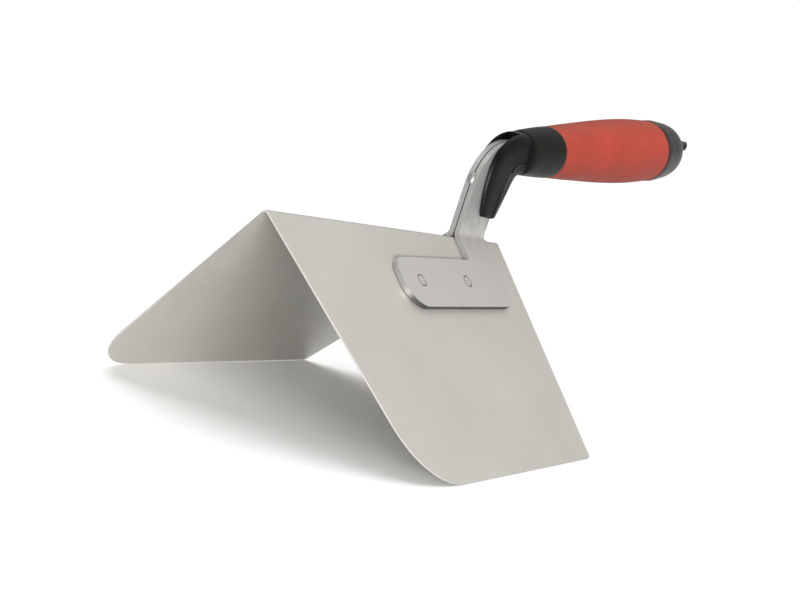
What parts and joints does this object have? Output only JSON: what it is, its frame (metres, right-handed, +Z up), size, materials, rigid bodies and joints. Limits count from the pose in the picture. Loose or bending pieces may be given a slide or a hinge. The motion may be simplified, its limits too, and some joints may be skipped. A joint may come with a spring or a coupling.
{
  "type": "outside corner trowel",
  "caption": "Hand trowel with a blade folded to a right angle, for finishing plaster on both faces of a wall's outside corner at once.",
  "frame": {"origin": "centre of the standing footprint, on the surface that the blade's two free edges stand on", "axes": "+X along the trowel from the blade's front end to the handle, +Y to the left wing, +Z up"},
  "size_m": [0.358, 0.1756, 0.1389],
  "materials": {
    "blade_steel": "satin",
    "plate_steel": "satin",
    "guard_rubber": "matte",
    "core_plastic": "satin",
    "grip_rubber": "matte",
    "cap_plastic": "satin"
  },
  "bodies": {
    "root": {"blade": "blade_steel", "shank_plate_right": "plate_steel", "shank_plate_left": "plate_steel", "rivet_right_front": "plate_steel", "rivet_right_rear": "plate_steel", "rivet_left_front": "plate_steel", "rivet_left_rear": "plate_steel", "tack_weld": "plate_steel", "finger_guard": "guard_rubber", "handle_core": "core_plastic", "grip_sleeve": "grip_rubber", "end_cap": "cap_plastic", "hang_eyelet": "cap_plastic"}
  },
  "joints": []
}
